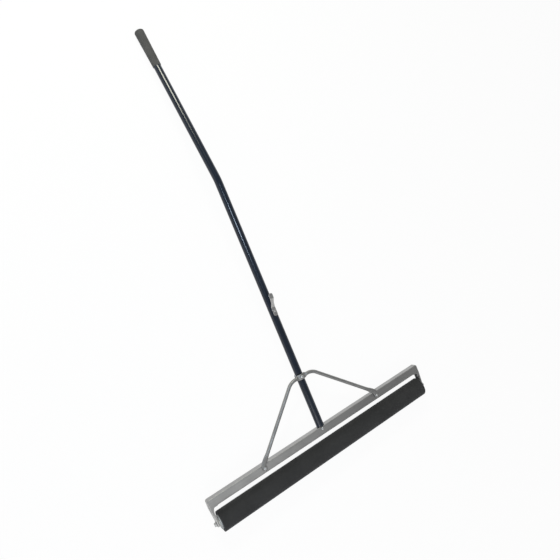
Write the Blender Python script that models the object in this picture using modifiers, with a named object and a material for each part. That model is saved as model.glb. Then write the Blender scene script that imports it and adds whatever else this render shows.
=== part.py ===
"""Roller squeegee: a foam roller on a fixed axle, held by the arms of a folded aluminium yoke.

The yoke carries a bent tubular handle with a grip, a bow brace and a fence hook.
The pieces are modelled upright: +X along the roller, +Z up the lower handle and -Y to the front,
with the origin at the middle of the roller's axis. The finished squeegee is then laid on its back,
so that it rests on the roller and on the end of the grip.
"""
import math

import bmesh
import bpy
import numpy as np
from mathutils import Matrix, Vector

# Clearances
GAP = 0.0003
RUNNING_CLEARANCE = 0.00008
HOLE_CLEARANCE = 0.0003

# Roller
FOAM_LENGTH = 0.914
FOAM_RADIUS = 0.0348
FOAM_EDGE = 0.0015
CORE_RADIUS = 0.0211
CORE_WALL = 0.0035
PLUG_FLANGE_RADIUS = 0.024
PLUG_FLANGE = 0.004
PLUG_SPIGOT = 0.032
BUSH_RADIUS = 0.008
BUSH_FLANGE_RADIUS = 0.0115
BUSH_FLANGE = 0.002
BUSH_LENGTH = 0.020

# Axle
AXLE_RADIUS = 0.0039688
AXLE_STICK_OUT = 0.0008
AXLE_CHAMFER = 0.0006
THRUST_WASHER_RADIUS = 0.0095
THRUST_WASHER = 0.0016
SPACER_RADIUS = 0.0072
SPACER_LENGTH = 0.0022
AXLE_WASHER_RADIUS = 0.0080
AXLE_WASHER = 0.0012
AXLE_NUT_WIDTH = 0.0127
AXLE_NUT = 0.0048

# Yoke
SHEET = 0.003175
YOKE_DEPTH = 0.0254
YOKE_HEIGHT = 0.030
ROLLER_GAP = 0.0212
CORNER_RADIUS = 0.0065
FOLD_RADIUS = 0.0032
LIP_FOLD_RADIUS = 0.0055
LIP = 0.0042
LIP_END = 0.030
LIP_EASE = 0.006
ARM_STEP = 0.004
STEP_BOTTOM = 0.013
STEP_TOP = 0.054
STEP_RADIUS = 0.012
ARM_END = 0.0095
ARM_END_ROUND = 0.009
GUSSET_WIDTH = 0.0145
GUSSET_FOOT = 0.044
GUSSET_FILLET = 0.005
ARM_FLANGE = 0.0063

# Handle
TUBE_RADIUS = 0.0142875
TUBE_WALL = 0.0016
LOWER_HANDLE = 0.963
UPPER_HANDLE = 0.6629
BEND_ANGLE = 0.2355
BEND_RADIUS = 0.120
SOCKET_LENGTH = 0.065
NECK_RADIUS = 0.0090
NECK_FLOOR = 0.0015
HANDLE_BOLT_RADIUS = 0.003175
HANDLE_BOLT_HEAD = 0.0053
HANDLE_BOLT_CROWN = 0.0034
HANDLE_BOLT_DROP = 0.0085
HANDLE_BOLT_TAIL = 0.0015
HANDLE_WASHER_RADIUS = 0.0066
HANDLE_WASHER = 0.0014
HANDLE_NUT_WIDTH = 0.0111
HANDLE_NUT = 0.0056

# Grip
GRIP_LENGTH = 0.165
GRIP_END_RADIUS = 0.0187
GRIP_MOUTH_RADIUS = 0.0164
GRIP_CAP = 0.006
GRIP_END_ROUND = 0.006
GRIP_MOUTH_ROUND = 0.0012

# Bow brace
BRACE_RADIUS = 0.00635
BRACE_HEIGHT = 0.196
BRACE_BEND_RADIUS = 0.050
BRACE_SHOULDER = 0.0465
PRESSED_HALF = 0.003
SADDLE_WRAP = math.radians(25)
SADDLE_END = 0.0127
SADDLE_EASE = 0.012
SADDLE_BLEND = 0.0105
SADDLE_HALF_WIDTH = 0.010
FOOT_SPREAD = 0.2547
FOOT_DROP = 0.013
FOOT_HALF_WIDTH = 0.00875
FOOT_PRESSED = 0.034
FOOT_BLEND = 0.030
ANKLE_RADIUS = 0.015
ANKLE_RISE = 0.012
FOOT_BOLT_RADIUS = 0.003
FOOT_BOLT_HEAD = 0.0055
FOOT_BOLT_CROWN = 0.0030
FOOT_BOLT_TAIL = 0.0010
FOOT_NUT_WIDTH = 0.0100
FOOT_NUT = 0.0045
SADDLE_WASHER_RADIUS = 0.0065
SADDLE_WASHER = 0.0012

# Fence hook
HOOK_ABOVE_BRACE = 0.238
HOOK_TURN = math.radians(6)
HOOK_WIDTH = 0.0156
HOOK_WAIST = 0.0020
HOOK_SHEET = 0.0025
HOOK_FLAT = 0.032
HOOK_STEP = 0.034
HOOK_LEG = 0.018
HOOK_THROAT = 0.0175
HOOK_BEND_RADIUS = 0.008
HOOK_CORNER = 0.0055
RIVET_RADIUS = 0.0024
RIVET_HEAD = 0.0048
RIVET_CROWN = 0.0016
RIVET_TAIL_RADIUS = 0.0034
RIVET_TAIL = 0.003
RIVET_UP = 0.0175

# Facets
ROLLER_SIDES = 64
TURNED_SIDES = 40
SMALL_SIDES = 24
TUBE_SIDES = 32
ROD_SIDES = 16
FOLD_FACETS = 6
ARC_STEP = math.radians(14)
ON_LINE = 0.00001

# Places worked out from the sizes, upright frame
FLANGE_BOTTOM = FOAM_RADIUS + ROLLER_GAP
YOKE_TOP = FLANGE_BOTTOM + YOKE_HEIGHT
HALF_DEPTH = YOKE_DEPTH / 2
PLUG_FACE = FOAM_LENGTH / 2 + GAP
BUSH_FACE = PLUG_FACE + PLUG_FLANGE + GAP
THRUST_FACE = BUSH_FACE + BUSH_FLANGE + GAP
SPACER_FACE = THRUST_FACE + THRUST_WASHER + GAP
ARM_INNER = SPACER_FACE + SPACER_LENGTH + GAP
HALF_YOKE = ARM_INNER + SHEET
WIDE_YOKE = HALF_YOKE + ARM_STEP
HALF_LIP = HALF_YOKE - LIP_END
WASHER_FACE = HALF_YOKE + GAP
NUT_FACE = WASHER_FACE + AXLE_WASHER + GAP
HALF_AXLE = NUT_FACE + AXLE_NUT + AXLE_STICK_OUT
KNEE_Z = YOKE_TOP + LOWER_HANDLE
BRACE_Z = YOKE_TOP + BRACE_HEIGHT
BRACE_Y = -(HALF_DEPTH + GAP + PRESSED_HALF)
SADDLE_RADIUS = TUBE_RADIUS + GAP + PRESSED_HALF
FOOT_Z = YOKE_TOP - FOOT_DROP
HANDLE_BOLT_Z = YOKE_TOP - HANDLE_BOLT_DROP
HOOK_Z = BRACE_Z + HOOK_ABOVE_BRACE
RIVET_Z = HOOK_Z + RIVET_UP
UP_THE_GRIP = Vector((0, math.sin(BEND_ANGLE), math.cos(BEND_ANGLE)))
GRIP_END = Vector((0, 0, KNEE_Z)) + UPPER_HANDLE * UP_THE_GRIP
TO_X = Matrix.Rotation(math.pi / 2, 4, "Y")
TO_MINUS_X = Matrix.Rotation(-math.pi / 2, 4, "Y")
TO_MINUS_Y = Matrix.Rotation(math.pi / 2, 4, "X")
TO_Y = Matrix.Rotation(-math.pi / 2, 4, "X")


def place(x=0.0, y=0.0, z=0.0):
    return Matrix.Translation((x, y, z))


def lying_angle():
    """Angle of the lower handle above the floor when the grip's rounded end touches it."""
    ring = GRIP_END_RADIUS - GRIP_END_ROUND
    centre = GRIP_END - GRIP_END_ROUND * UP_THE_GRIP
    along = centre.z - ring * math.sin(BEND_ANGLE)
    across = centre.y + ring * math.cos(BEND_ANGLE)
    lift = GRIP_END_ROUND - FOAM_RADIUS * math.cos(math.pi / ROLLER_SIDES)
    return math.atan2(across, along) + math.asin(lift / math.hypot(along, across))


LYING_ANGLE = lying_angle()


def clear_scene():
    for thing in list(bpy.data.objects):
        bpy.data.objects.remove(thing, do_unlink=True)


clear_scene()
parts = bpy.data.collections.new("roller_squeegee")
cutters = bpy.data.collections.new("cutters")
bpy.context.scene.collection.children.link(parts)
bpy.context.scene.collection.children.link(cutters)


def make_empty(name, parent=None):
    empty = bpy.data.objects.new(name, None)
    empty.empty_display_size = 0.05
    empty.parent = parent
    parts.objects.link(empty)
    return empty


squeegee = make_empty("squeegee")
frame_group = make_empty("frame_group", squeegee)
roller_group = make_empty("roller_group", squeegee)
frame_group.rotation_euler = (LYING_ANGLE - math.pi / 2, 0, 0)


def make_material(name, colour, roughness, metallic=0.0):
    material = bpy.data.materials.new(name)
    material.use_nodes = True
    shader = material.node_tree.nodes["Principled BSDF"]
    shader.inputs["Base Color"].default_value = (*colour, 1)
    shader.inputs["Roughness"].default_value = roughness
    shader.inputs["Metallic"].default_value = metallic
    material.diffuse_color = (*colour, 1)
    return material


FOAM = make_material("foam", (0.035, 0.035, 0.036), 0.9)
CORE = make_material("core_plastic", (0.45, 0.45, 0.44), 0.5)
PLUG = make_material("plug_plastic", (0.42, 0.43, 0.43), 0.45)
BUSH = make_material("bush_nylon", (0.75, 0.73, 0.66), 0.4)
ALUMINIUM = make_material("aluminium", (0.55, 0.55, 0.55), 0.42, 1.0)
STEEL = make_material("zinc_steel", (0.55, 0.56, 0.57), 0.3, 1.0)
BRACE = make_material("brace_steel", (0.5, 0.5, 0.5), 0.35, 1.0)
PAINT = make_material("handle_paint", (0.012, 0.02, 0.035), 0.3)
GRIP = make_material("grip_foam", (0.05, 0.05, 0.052), 0.85)


def rounded(corners, closed=False):
    """Points of a line through corners given as (point, radius), with each radius as an arc."""
    path = []
    count = len(corners)
    for index, (point, radius) in enumerate(corners):
        corner = Vector(point)
        if radius == 0 or (not closed and index in (0, count - 1)):
            path.append(corner)
            continue
        back = (Vector(corners[index - 1][0]) - corner).normalized()
        ahead = (Vector(corners[(index + 1) % count][0]) - corner).normalized()
        half = back.angle(ahead) / 2
        centre = corner + (back + ahead).normalized() * radius / math.sin(half)
        first = corner + back * radius / math.tan(half) - centre
        last = corner + ahead * radius / math.tan(half) - centre
        turn = math.pi - 2 * half
        steps = max(2, math.ceil(turn / ARC_STEP))
        axis = first.cross(last).normalized()
        for step in range(steps + 1):
            path.append(centre + Matrix.Rotation(turn * step / steps, 3, axis) @ first)
    return path


def ribbon(path, thickness):
    """Closed outline of a strip of this thickness bent along a flat path."""
    left, right = [], []
    for index, point in enumerate(path):
        before = (point - path[max(index - 1, 0)]).normalized()
        after = (path[min(index + 1, len(path) - 1)] - point).normalized()
        if index == 0:
            before = after
        if index == len(path) - 1:
            after = before
        along = (before + after).normalized()
        reach = thickness / 2 / max(along.dot(after), 0.5)
        side = Vector((-along.y, along.x, 0)) * reach
        left.append(point + side)
        right.append(point - side)
    return left + right[::-1]


def circle(radius, sides, x=0.0, y=0.0, start=0.0):
    turns = [start + 2 * math.pi * k / sides for k in range(sides)]
    return [Vector((x + radius * math.cos(a), y + radius * math.sin(a), 0)) for a in turns]


def smooth_mesh(mesh):
    mesh.shade_smooth()
    mesh.set_sharp_from_angle(angle=math.radians(32))


def link(name, mesh, matrix, material, parent):
    thing = bpy.data.objects.new(name, mesh)
    if material is None:
        cutters.objects.link(thing)
        thing.hide_render = True
        thing.display_type = "WIRE"
    else:
        parts.objects.link(thing)
        if not mesh.materials:
            mesh.materials.append(material)
    thing.parent = parent
    thing.matrix_local = matrix
    return thing


def curve_to_mesh(name, curve):
    """Mesh of a curve, with its caps welded on and its flat faces whole."""
    thing = bpy.data.objects.new(name, curve)
    parts.objects.link(thing)
    evaluated = thing.evaluated_get(bpy.context.evaluated_depsgraph_get())
    mesh = bpy.data.meshes.new_from_object(evaluated)
    mesh.name = name
    bpy.data.objects.remove(thing, do_unlink=True)
    bpy.data.curves.remove(curve)
    work = bmesh.new()
    work.from_mesh(mesh)
    bmesh.ops.remove_doubles(work, verts=work.verts, dist=1e-6)
    bmesh.ops.recalc_face_normals(work, faces=work.faces)
    work.to_mesh(mesh)
    work.free()
    return mesh


def add_spline(curve, points, closed):
    spline = curve.splines.new("POLY")
    spline.points.add(len(points) - 1)
    for slot, point in zip(spline.points, points):
        slot.co = (*point, 1)
    spline.use_cyclic_u = closed


def prism_mesh(name, outline, thickness, holes=()):
    """A flat outline in X and Y, with holes, extruded by half the thickness each way along Z."""
    curve = bpy.data.curves.new(name, "CURVE")
    curve.dimensions = "2D"
    curve.fill_mode = "BOTH"
    curve.extrude = thickness / 2
    for loop in (outline, *holes):
        add_spline(curve, loop, True)
    mesh = curve_to_mesh(name, curve)
    if not holes:
        work = bmesh.new()
        work.from_mesh(mesh)
        bmesh.ops.dissolve_limit(work, angle_limit=math.radians(0.5), verts=work.verts, edges=work.edges)
        work.to_mesh(mesh)
        work.free()
    return mesh


def prism(name, outline, thickness, matrix, material=None, parent=frame_group, holes=()):
    return link(name, prism_mesh(name, outline, thickness, holes), matrix, material, parent)


def rod_mesh(name, path, radius, sides):
    curve = bpy.data.curves.new(name, "CURVE")
    curve.dimensions = "3D"
    curve.bevel_depth = radius
    curve.bevel_resolution = (sides - 4) // 2
    curve.use_fill_caps = True
    add_spline(curve, path, False)
    return curve_to_mesh(name, curve)


def rod(name, path, radius, sides, material=None, parent=frame_group):
    mesh = rod_mesh(name, path, radius, sides)
    smooth_mesh(mesh)
    return link(name, mesh, Matrix.Identity(4), material, parent)


def turned(name, profile, sides, matrix, material=None, parent=frame_group, closed=False):
    """A profile of (radius, height) points, run down its outer side, turned about its own Z."""
    mesh = bpy.data.meshes.new(name)
    work = bmesh.new()
    knots = [work.verts.new((radius, 0, height)) for radius, height in profile]
    for a, b in zip(knots, knots[1:]):
        work.edges.new((a, b))
    if closed:
        work.edges.new((knots[-1], knots[0]))
    work.to_mesh(mesh)
    work.free()
    thing = link(name, mesh, matrix, material, parent)
    screw = thing.modifiers.new("turn", "SCREW")
    screw.axis = "Z"
    screw.steps = sides
    screw.render_steps = sides
    screw.use_merge_vertices = True
    screw.merge_threshold = 1e-6
    screw.use_smooth_shade = False
    return thing


def cylinder(name, radius, bottom, top, sides, matrix, material=None, parent=frame_group):
    profile = [(0, top), (radius, top), (radius, bottom), (0, bottom)]
    return turned(name, profile, sides, matrix, material, parent)


def ring(name, outer, inner, bottom, top, sides, matrix, material, parent=frame_group):
    profile = [(outer, top), (outer, bottom), (inner, bottom), (inner, top)]
    return turned(name, profile, sides, matrix, material, parent, closed=True)


def cut(thing, cutter, operation="DIFFERENCE"):
    modifier = thing.modifiers.new(operation.lower() + "_" + cutter.name, "BOOLEAN")
    modifier.operation = operation
    modifier.object = cutter
    modifier.solver = "EXACT"


def bolt(name, radius, head, crown, length, matrix, material=STEEL, parent=frame_group):
    """A button-head bolt: its head stands above Z = 0 and its shank reaches down to -length."""
    profile = [(0, crown)]
    for step in range(1, 5):
        turn = math.radians(18 * step)
        profile.append((head * math.sin(turn), crown * math.cos(turn)))
    profile += [(head, 0), (radius, 0), (radius, -length), (0, -length)]
    return turned(name, profile, SMALL_SIDES, matrix, material, parent)


def nut(name, width, bore, height, matrix, material=STEEL, parent=frame_group):
    """A hexagon nut with its seat at Z = 0, standing up."""
    corner = width / math.sqrt(3)
    holes = [circle(bore, SMALL_SIDES)]
    return prism(name, circle(corner, 6), height, matrix @ place(z=height / 2), material, parent, holes)


def washer(name, radius, bore, thickness, matrix, material=STEEL, parent=frame_group):
    return ring(name, radius, bore, 0, thickness, SMALL_SIDES, matrix, material, parent)


def spin_half_facet():
    """Turns the foam so that it lies on a facet and not on an edge."""
    return Matrix.Rotation(math.pi / ROLLER_SIDES, 4, "Z")


def spin_half_side():
    """Turns a small hole so that none of its corners meets an edge of the tube."""
    return Matrix.Rotation(math.pi / SMALL_SIDES, 4, "Z")


def make_roller():
    half = FOAM_LENGTH / 2
    core_hole = CORE_RADIUS + GAP
    foam = [(FOAM_RADIUS - FOAM_EDGE, half), (FOAM_RADIUS, half - FOAM_EDGE), (FOAM_RADIUS, -half + FOAM_EDGE),
            (FOAM_RADIUS - FOAM_EDGE, -half), (core_hole, -half), (core_hole, half)]
    turned("roller_foam", foam, ROLLER_SIDES, TO_X @ spin_half_facet(), FOAM, roller_group, closed=True)
    ring("roller_core", CORE_RADIUS, CORE_RADIUS - CORE_WALL, -half, half, TURNED_SIDES, TO_X, CORE, roller_group)


def make_roller_end(side, outward):
    """End plug and bush of one end; outward turns +Z to point away from the roller."""
    spigot = CORE_RADIUS - CORE_WALL - GAP
    bush_hole = BUSH_RADIUS + GAP
    plug = [(PLUG_FLANGE_RADIUS, PLUG_FLANGE), (PLUG_FLANGE_RADIUS, 0), (spigot, 0), (spigot, -PLUG_SPIGOT),
            (bush_hole, -PLUG_SPIGOT), (bush_hole, PLUG_FLANGE)]
    turned(f"end_plug_{side}", plug, TURNED_SIDES, outward @ place(z=PLUG_FACE), PLUG, roller_group, closed=True)
    bore = AXLE_RADIUS + RUNNING_CLEARANCE
    bush = [(BUSH_FLANGE_RADIUS, BUSH_FLANGE), (BUSH_FLANGE_RADIUS, 0), (BUSH_RADIUS, 0), (BUSH_RADIUS, -BUSH_LENGTH),
            (bore, -BUSH_LENGTH), (bore, BUSH_FLANGE)]
    turned(f"bush_{side}", bush, TURNED_SIDES, outward @ place(z=BUSH_FACE), BUSH, roller_group, closed=True)


def make_axle():
    tip = AXLE_RADIUS - AXLE_CHAMFER
    profile = [(0, HALF_AXLE), (tip, HALF_AXLE), (AXLE_RADIUS, HALF_AXLE - AXLE_CHAMFER),
               (AXLE_RADIUS, -HALF_AXLE + AXLE_CHAMFER), (tip, -HALF_AXLE), (0, -HALF_AXLE)]
    turned("axle_rod", profile, TURNED_SIDES, TO_X, STEEL)


def make_axle_fittings(side, outward):
    """What the axle carries at one end, from the bush out to the nut."""
    hole = AXLE_RADIUS + HOLE_CLEARANCE
    washer(f"thrust_washer_{side}", THRUST_WASHER_RADIUS, hole, THRUST_WASHER, outward @ place(z=THRUST_FACE))
    ring(f"axle_spacer_{side}", SPACER_RADIUS, hole, 0, SPACER_LENGTH, SMALL_SIDES, outward @ place(z=SPACER_FACE), STEEL)
    washer(f"axle_washer_{side}", AXLE_WASHER_RADIUS, hole, AXLE_WASHER, outward @ place(z=WASHER_FACE))
    nut(f"axle_nut_{side}", AXLE_NUT_WIDTH, hole, AXLE_NUT, outward @ place(z=NUT_FACE))


def mirrored(half):
    """The points of a right half, given as (point, radius), followed by their mirror images."""
    return half + [(Vector((-point[0], point[1], 0)), radius) for point, radius in reversed(half)]


def yoke_outline():
    """Front view of the folded sheet, from the right arm's outer edge round to its inner edge."""
    low = -ARM_END - SHEET
    outer = [((HALF_YOKE, low, 0), 0), ((HALF_YOKE, STEP_BOTTOM, 0), STEP_RADIUS),
             ((WIDE_YOKE, STEP_TOP, 0), STEP_RADIUS), ((WIDE_YOKE, YOKE_TOP, 0), CORNER_RADIUS)]
    flange = HALF_YOKE - ARM_FLANGE
    inner = [((HALF_LIP, FLANGE_BOTTOM, 0), 0), ((HALF_LIP + LIP_EASE, FLANGE_BOTTOM, 0), 0),
             ((WIDE_YOKE - GUSSET_WIDTH, FLANGE_BOTTOM, 0), GUSSET_FILLET), ((flange, GUSSET_FOOT, 0), GUSSET_FILLET),
             ((flange, low, 0), 0)]
    return rounded(mirrored(outer) + mirrored(inner[::-1])[::-1], closed=True)


def cavity_outline():
    """The inside of the folded sheet, which follows the step in the arms and stops above the lips."""
    low = -ARM_END - YOKE_HEIGHT
    wide = ARM_INNER + ARM_STEP
    lip_top = FLANGE_BOTTOM + SHEET
    half = [((HALF_LIP, lip_top, 0), 0), ((HALF_LIP, low, 0), 0), ((ARM_INNER, low, 0), 0),
            ((ARM_INNER, STEP_BOTTOM, 0), STEP_RADIUS), ((wide, STEP_TOP, 0), STEP_RADIUS),
            ((wide, YOKE_TOP - SHEET, 0), CORNER_RADIUS - SHEET)]
    return rounded(mirrored(half), closed=True)


def lip_slot_outline():
    """Front view of the slot between the two lips."""
    reach = HALF_LIP + SHEET
    low = FLANGE_BOTTOM - SHEET
    high = FLANGE_BOTTOM + 2 * SHEET
    return [Vector((-reach, low, 0)), Vector((reach, low, 0)), Vector((reach, high, 0)), Vector((-reach, high, 0))]


def arm_end_outline():
    """Side view of a wide strip, whose lower end is the rounded end of an arm."""
    wide = HALF_DEPTH + SHEET
    half = [((HALF_DEPTH, -ARM_END, 0), ARM_END_ROUND), ((wide, HALF_DEPTH, 0), 0), ((wide, 2 * YOKE_TOP, 0), 0)]
    return rounded(mirrored(half), closed=True)


def fold_radius(point):
    """Radius of the fold that a point of the yoke's outline lies on, or 0 along a plain edge."""
    on_arm = abs(point.x) > HALF_YOKE - ON_LINE
    on_top = point.y > YOKE_TOP - CORNER_RADIUS - ON_LINE
    if on_arm or on_top:
        return FOLD_RADIUS
    on_lip = abs(point.y - FLANGE_BOTTOM) < ON_LINE and abs(point.x) < HALF_LIP + ON_LINE
    return LIP_FOLD_RADIUS if on_lip else 0.0


def drawn_in(radius, below):
    """How far a fold of this radius takes the skin in from its edge, this far below the face."""
    if below >= radius:
        return 0.0
    return radius - math.sqrt(radius ** 2 - (radius - below) ** 2)


def steps_inward(outline, radii):
    """For each point of a counter-clockwise outline, the step that moves its folded edges in by one."""
    steps = []
    for index, point in enumerate(outline):
        ahead = (index + 1) % len(outline)
        before = (point - outline[index - 1]).normalized()
        after = (outline[ahead] - point).normalized()
        if radii[index - 1] == 0:
            before = after
        if radii[ahead] == 0:
            after = before
        along = (before + after).normalized()
        steps.append(Vector((-along.y, along.x, 0)) / along.dot(before))
    return steps


def folded_mesh(name, outline, depth):
    """The yoke's outline extruded by half the depth each way, with round edges where it is folded."""
    radii = [fold_radius(point) for point in outline]
    steps = steps_inward(outline, radii)
    turns = [math.pi / 2 * (1 - k / FOLD_FACETS) for k in range(FOLD_FACETS + 1)]
    depths = [max(FOLD_RADIUS, LIP_FOLD_RADIUS) * (1 - math.sin(turn)) for turn in turns]
    layers = [(below, depth / 2 - below) for below in depths]
    layers += [(below, below - depth / 2) for below in reversed(depths)]
    work = bmesh.new()
    rings = []
    for below, height in layers:
        lift = Vector((0, 0, height))
        rings.append([work.verts.new(point + step * drawn_in(radius, below) + lift)
                      for point, step, radius in zip(outline, steps, radii)])
    work.faces.new(rings[0])
    work.faces.new(rings[-1][::-1])
    easing = []
    for ring_above, ring_below in zip(rings, rings[1:]):
        for index in range(len(outline)):
            ahead = (index + 1) % len(outline)
            face = work.faces.new((ring_above[index], ring_below[index], ring_below[ahead], ring_above[ahead]))
            if radii[index] != radii[ahead]:
                easing.append(face)
    bmesh.ops.triangulate(work, faces=easing)
    bmesh.ops.recalc_face_normals(work, faces=work.faces)
    mesh = bpy.data.meshes.new(name)
    work.to_mesh(mesh)
    work.free()
    return mesh


def make_yoke():
    upright = TO_MINUS_Y
    yoke = link("yoke", folded_mesh("yoke", yoke_outline(), YOKE_DEPTH), upright, ALUMINIUM, frame_group)
    cut(yoke, prism("yoke_cavity", cavity_outline(), YOKE_DEPTH - 2 * SHEET, upright))
    cut(yoke, prism("lip_slot", lip_slot_outline(), YOKE_DEPTH - 2 * (SHEET + LIP), upright))
    across = Matrix.Rotation(math.pi / 2, 4, "Z") @ TO_MINUS_Y
    cut(yoke, prism("arm_ends", arm_end_outline(), 2 * HALF_YOKE + YOKE_DEPTH, across), "INTERSECT")
    hole = AXLE_RADIUS + HOLE_CLEARANCE
    cut(yoke, cylinder("axle_holes", hole, -HALF_AXLE, HALF_AXLE, TURNED_SIDES, TO_X))
    neck_hole = NECK_RADIUS + GAP
    cut(yoke, cylinder("neck_hole", neck_hole, HANDLE_BOLT_Z, YOKE_TOP + SHEET, TURNED_SIDES, place()))
    bolt_hole = HANDLE_BOLT_RADIUS + HOLE_CLEARANCE
    cut(yoke, cylinder("handle_bolt_holes", bolt_hole, -YOKE_DEPTH, YOKE_DEPTH, SMALL_SIDES,
                       place(z=HANDLE_BOLT_Z) @ TO_Y))
    foot_hole = FOOT_BOLT_RADIUS + HOLE_CLEARANCE
    for side, sign in (("left", -1), ("right", 1)):
        cut(yoke, cylinder(f"foot_hole_{side}", foot_hole, 0, YOKE_DEPTH, SMALL_SIDES,
                           place(x=sign * FOOT_SPREAD, z=FOOT_Z) @ TO_MINUS_Y))
    return yoke


def handle_path(start_drop, end_drop):
    """Centre line of the handle, with its ends moved in by these lengths."""
    end = GRIP_END - end_drop * UP_THE_GRIP
    knee = Vector((0, 0, KNEE_Z))
    return rounded([((0, 0, YOKE_TOP + start_drop), 0), (knee, BEND_RADIUS), (end, 0)])


def make_handle():
    top_drop = GRIP_CAP + GAP
    tube = rod("handle_tube", handle_path(GAP, top_drop), TUBE_RADIUS, TUBE_SIDES, PAINT)
    bore_path = handle_path(-GRIP_CAP, -GRIP_CAP)
    cut(tube, rod("handle_bore", bore_path, TUBE_RADIUS - TUBE_WALL, TUBE_SIDES))
    cut(tube, cylinder("rivet_hole", RIVET_RADIUS + HOLE_CLEARANCE, 0, 2 * TUBE_RADIUS, SMALL_SIDES, rivet_place()))
    cut(tube, cylinder("saddle_bolt_holes", FOOT_BOLT_RADIUS + HOLE_CLEARANCE, -2 * TUBE_RADIUS, 2 * TUBE_RADIUS,
                       SMALL_SIDES, place(z=BRACE_Z) @ TO_Y @ spin_half_side()))
    make_socket_plug()
    make_handle_bolt()


def make_socket_plug():
    """A stepped plug: its body fills the foot of the tube and its neck goes down into the yoke."""
    body = TUBE_RADIUS - TUBE_WALL - GAP
    neck_end = FLANGE_BOTTOM + SHEET + NECK_FLOOR
    seat = YOKE_TOP + GAP
    chamfer = TUBE_WALL
    profile = [(0, seat + SOCKET_LENGTH), (body - chamfer, seat + SOCKET_LENGTH),
               (body, seat + SOCKET_LENGTH - chamfer), (body, seat), (NECK_RADIUS, seat), (NECK_RADIUS, neck_end),
               (0, neck_end)]
    plug = turned("socket_plug", profile, TURNED_SIDES, place(), STEEL)
    cut(plug, cylinder("plug_cross_hole", HANDLE_BOLT_RADIUS + HOLE_CLEARANCE, -YOKE_DEPTH, YOKE_DEPTH, SMALL_SIDES,
                       place(z=HANDLE_BOLT_Z) @ TO_Y))


def make_handle_bolt():
    hole = HANDLE_BOLT_RADIUS + HOLE_CLEARANCE
    back = HALF_DEPTH + GAP
    nut_seat = back + HANDLE_WASHER + GAP
    length = HALF_DEPTH + GAP + nut_seat + HANDLE_NUT + HANDLE_BOLT_TAIL
    bolt("handle_bolt", HANDLE_BOLT_RADIUS, HANDLE_BOLT_HEAD, HANDLE_BOLT_CROWN, length,
         place(y=-HALF_DEPTH - GAP, z=HANDLE_BOLT_Z) @ TO_MINUS_Y)
    washer("handle_bolt_washer", HANDLE_WASHER_RADIUS, hole, HANDLE_WASHER, place(y=back, z=HANDLE_BOLT_Z) @ TO_Y)
    nut("handle_bolt_nut", HANDLE_NUT_WIDTH, hole, HANDLE_NUT, place(y=nut_seat, z=HANDLE_BOLT_Z) @ TO_Y)


def make_grip():
    bore = TUBE_RADIUS + GAP
    profile = [(0, 0)]
    for step in range(5):
        turn = math.radians(22.5 * step)
        profile.append((GRIP_END_RADIUS - GRIP_END_ROUND * (1 - math.sin(turn)), -GRIP_END_ROUND * (1 - math.cos(turn))))
    profile += [(GRIP_MOUTH_RADIUS, -GRIP_LENGTH + GRIP_MOUTH_ROUND),
                (GRIP_MOUTH_RADIUS - GRIP_MOUTH_ROUND, -GRIP_LENGTH), (bore, -GRIP_LENGTH), (bore, -GRIP_CAP),
                (0, -GRIP_CAP)]
    tilt = Matrix.Rotation(-BEND_ANGLE, 4, "X")
    turned("handle_grip", profile, TURNED_SIDES, Matrix.Translation(GRIP_END) @ tilt, GRIP)


def smooth_share(value):
    value = min(max(value, 0), 1)
    return value * value * (3 - 2 * value)


def brace_path():
    """Centre line from the left tip, up, round the front of the handle and down to the right tip."""
    apex = SADDLE_RADIUS * math.tan(SADDLE_WRAP / 2)
    behind = -SADDLE_RADIUS + (SADDLE_END - apex) * math.tan(SADDLE_WRAP)
    level = [((SADDLE_END + SADDLE_BLEND * share, behind, BRACE_Z), 0) for share in (0.4, 0.7)]
    ankle = Vector((FOOT_SPREAD, BRACE_Y, YOKE_TOP))
    up = Vector((BRACE_SHOULDER - FOOT_SPREAD, 0, BRACE_Z - YOKE_TOP)).normalized()
    leg = [(ankle + (ANKLE_RISE + FOOT_BLEND * share) * up, 0) for share in (1.1, 0.9, 0.7, 0.5, 0.3, 0.1)]
    tip = [FOOT_Z - FOOT_HALF_WIDTH * math.sin(math.radians(angle)) for angle in (0, 20, 40, 60, 78, 90)]
    right = [((apex, -SADDLE_RADIUS, BRACE_Z), SADDLE_RADIUS), ((SADDLE_END, behind, BRACE_Z), SADDLE_EASE), *level,
             ((BRACE_SHOULDER, behind, BRACE_Z), BRACE_BEND_RADIUS), *leg, (ankle, ANKLE_RADIUS)]
    right += [((FOOT_SPREAD, BRACE_Y, height), 0) for height in tip]
    left = [(Vector((-point[0], point[1], point[2])), radius) for point, radius in reversed(right)]
    path = rounded(left + right)
    return [point for index, point in enumerate(path) if index == 0 or (point - path[index - 1]).length > 1e-5]


def pressed_section(across, from_tip):
    """Half thickness and half width of the rod at this distance from the handle and from its tip."""
    at_foot = smooth_share((FOOT_PRESSED + FOOT_BLEND - from_tip) / FOOT_BLEND)
    at_saddle = smooth_share((SADDLE_END + SADDLE_BLEND - abs(across)) / SADDLE_BLEND)
    share = max(at_foot, at_saddle)
    wide = FOOT_HALF_WIDTH if at_foot > at_saddle else SADDLE_HALF_WIDTH
    width = BRACE_RADIUS + (wide - BRACE_RADIUS) * share
    if from_tip < FOOT_HALF_WIDTH:
        width *= math.sqrt(max(1 - (1 - from_tip / FOOT_HALF_WIDTH) ** 2, 0.01))
    return BRACE_RADIUS + (PRESSED_HALF - BRACE_RADIUS) * share, width


def loft(name, rings):
    """A closed skin over rings of points, each with the same number of points."""
    mesh = bpy.data.meshes.new(name)
    work = bmesh.new()
    loops = [[work.verts.new(point) for point in points] for points in rings]
    for near, far in zip(loops, loops[1:]):
        for k in range(len(near)):
            after = (k + 1) % len(near)
            work.faces.new((near[k], near[after], far[after], far[k]))
    work.faces.new(loops[0][::-1])
    work.faces.new(loops[-1])
    bmesh.ops.recalc_face_normals(work, faces=work.faces)
    work.to_mesh(mesh)
    work.free()
    return mesh


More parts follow.
